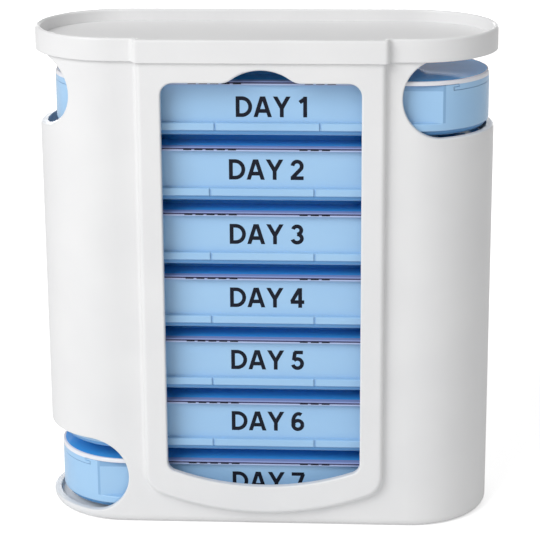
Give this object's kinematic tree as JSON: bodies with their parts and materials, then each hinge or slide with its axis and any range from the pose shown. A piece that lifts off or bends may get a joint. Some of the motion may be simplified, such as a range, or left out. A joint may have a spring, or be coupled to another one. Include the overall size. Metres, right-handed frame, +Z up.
{
  "type": "weekly pill drawer organizer",
  "caption": "White oval sleeve with a front window and a dished cap, holding a stack of blue pill trays with sliding lids that come out at the ends.",
  "frame": {"origin": "middle of the sleeve's flat underside, at the centre of its oval, bulged panel left out of account", "axes": "+Z up, +X to the right as the window is seen, -Y out of the front window"},
  "size_m": [0.1262, 0.0489, 0.1381],
  "materials": {
    "sleeve_white": "fine satin moulded polypropylene",
    "cap_white": "fine satin moulded polypropylene",
    "tray_blue": "clear pale blue, glossy",
    "lid_blue": "clear blue, glossy"
  },
  "bodies": {
    "housing": {"housing": "sleeve_white"},
    "top_cap": {"top_cap": "cap_white"},
    "day_1_tray": {"day_1_tray": "tray_blue"},
    "day_1_lid": {"day_1_lid": "lid_blue"},
    "day_2_tray": {"day_2_tray": "tray_blue"},
    "day_2_lid": {"day_2_lid": "lid_blue"},
    "day_3_tray": {"day_3_tray": "tray_blue"},
    "day_3_lid": {"day_3_lid": "lid_blue"},
    "day_4_tray": {"day_4_tray": "tray_blue"},
    "day_4_lid": {"day_4_lid": "lid_blue"},
    "day_5_tray": {"day_5_tray": "tray_blue"},
    "day_5_lid": {"day_5_lid": "lid_blue"},
    "day_6_tray": {"day_6_tray": "tray_blue"},
    "day_6_lid": {"day_6_lid": "lid_blue"},
    "day_7_tray": {"day_7_tray": "tray_blue"},
    "day_7_lid": {"day_7_lid": "lid_blue"}
  },
  "joints": [
    {"name": "top_tray_slide", "type": "slide", "parent": "day_2_tray", "child": "day_1_tray", "axis": [1, 0, 0], "range_m": [-0.0015, 0.126]},
    {"name": "lowest_tray_slide", "type": "slide", "parent": "housing", "child": "day_7_tray", "axis": [1, 0, 0], "range_m": [-0.126, 0.0009]},
    {"name": "cap_lift", "type": "slide", "parent": "day_2_tray", "child": "top_cap", "axis": [0, 0, 1], "range_m": [0, 0.04]},
    {"name": "day_6_tray_lift", "type": "slide", "parent": "housing", "child": "day_6_tray", "axis": [0, 0, 1], "range_m": [0, 0.018]},
    {"name": "day_5_tray_lift", "type": "slide", "parent": "day_6_tray", "child": "day_5_tray", "axis": [0, 0, 1], "range_m": [0, 0.018]},
    {"name": "day_4_tray_lift", "type": "slide", "parent": "day_5_tray", "child": "day_4_tray", "axis": [0, 0, 1], "range_m": [0, 0.018]},
    {"name": "day_3_tray_lift", "type": "slide", "parent": "day_4_tray", "child": "day_3_tray", "axis": [0, 0, 1], "range_m": [0, 0.018]},
    {"name": "day_2_tray_lift", "type": "slide", "parent": "day_3_tray", "child": "day_2_tray", "axis": [0, 0, 1], "range_m": [0, 0.018]},
    {"name": "day_1_lid_slide", "type": "slide", "parent": "day_1_tray", "child": "day_1_lid", "axis": [1, 0, 0], "range_m": [0, 0.112]},
    {"name": "day_2_lid_slide", "type": "slide", "parent": "day_2_tray", "child": "day_2_lid", "axis": [1, 0, 0], "range_m": [-0.0009, 0.0009]},
    {"name": "day_3_lid_slide", "type": "slide", "parent": "day_3_tray", "child": "day_3_lid", "axis": [1, 0, 0], "range_m": [-0.0009, 0.0009]},
    {"name": "day_4_lid_slide", "type": "slide", "parent": "day_4_tray", "child": "day_4_lid", "axis": [1, 0, 0], "range_m": [-0.0009, 0.0009]},
    {"name": "day_5_lid_slide", "type": "slide", "parent": "day_5_tray", "child": "day_5_lid", "axis": [1, 0, 0], "range_m": [-0.0009, 0.0009]},
    {"name": "day_6_lid_slide", "type": "slide", "parent": "day_6_tray", "child": "day_6_lid", "axis": [1, 0, 0], "range_m": [-0.0009, 0.0009]},
    {"name": "day_7_lid_slide", "type": "slide", "parent": "day_7_tray", "child": "day_7_lid", "axis": [1, 0, 0], "range_m": [-0.112, 0]}
  ]
}
